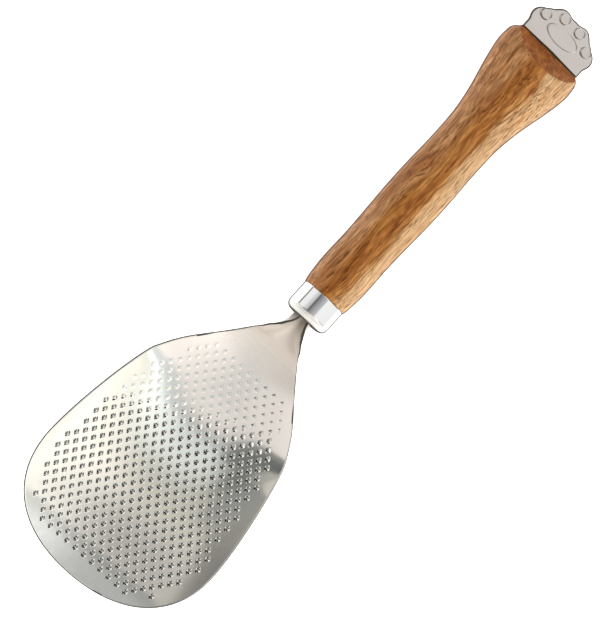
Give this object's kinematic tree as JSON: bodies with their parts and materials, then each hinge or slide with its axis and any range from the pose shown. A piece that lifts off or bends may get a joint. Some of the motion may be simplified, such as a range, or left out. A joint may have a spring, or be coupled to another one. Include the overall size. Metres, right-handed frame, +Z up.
{
  "type": "rice paddle",
  "caption": "Rice paddle with a shallow embossed steel blade, a rolled neck, a ferrule, a flared wooden handle and a cast paw-shaped end cap.",
  "frame": {"origin": "on the surface that the paddle lies on, under the middle of its length and width", "axes": "+Y runs from the blade's tip to the paw cap, +Z is up from the resting surface and out of the paddle's front, +X is to the right seen from the front"},
  "size_m": [0.0694, 0.234, 0.022],
  "materials": {
    "blade_steel": "stamped stainless sheet, polished",
    "ferrule_steel": "drawn stainless cup, mirror polished",
    "tang_steel": "plain drawn steel rod",
    "handle_wood": "acacia, sanded and oiled",
    "cap_metal": "die-cast zinc with a satin nickel plating",
    "stud_steel": "plain steel stud"
  },
  "bodies": {
    "root": {"blade": "blade_steel", "ferrule": "ferrule_steel", "tang_rod": "tang_steel", "handle": "handle_wood", "paw_cap": "cap_metal", "cap_stud": "stud_steel"}
  },
  "joints": []
}
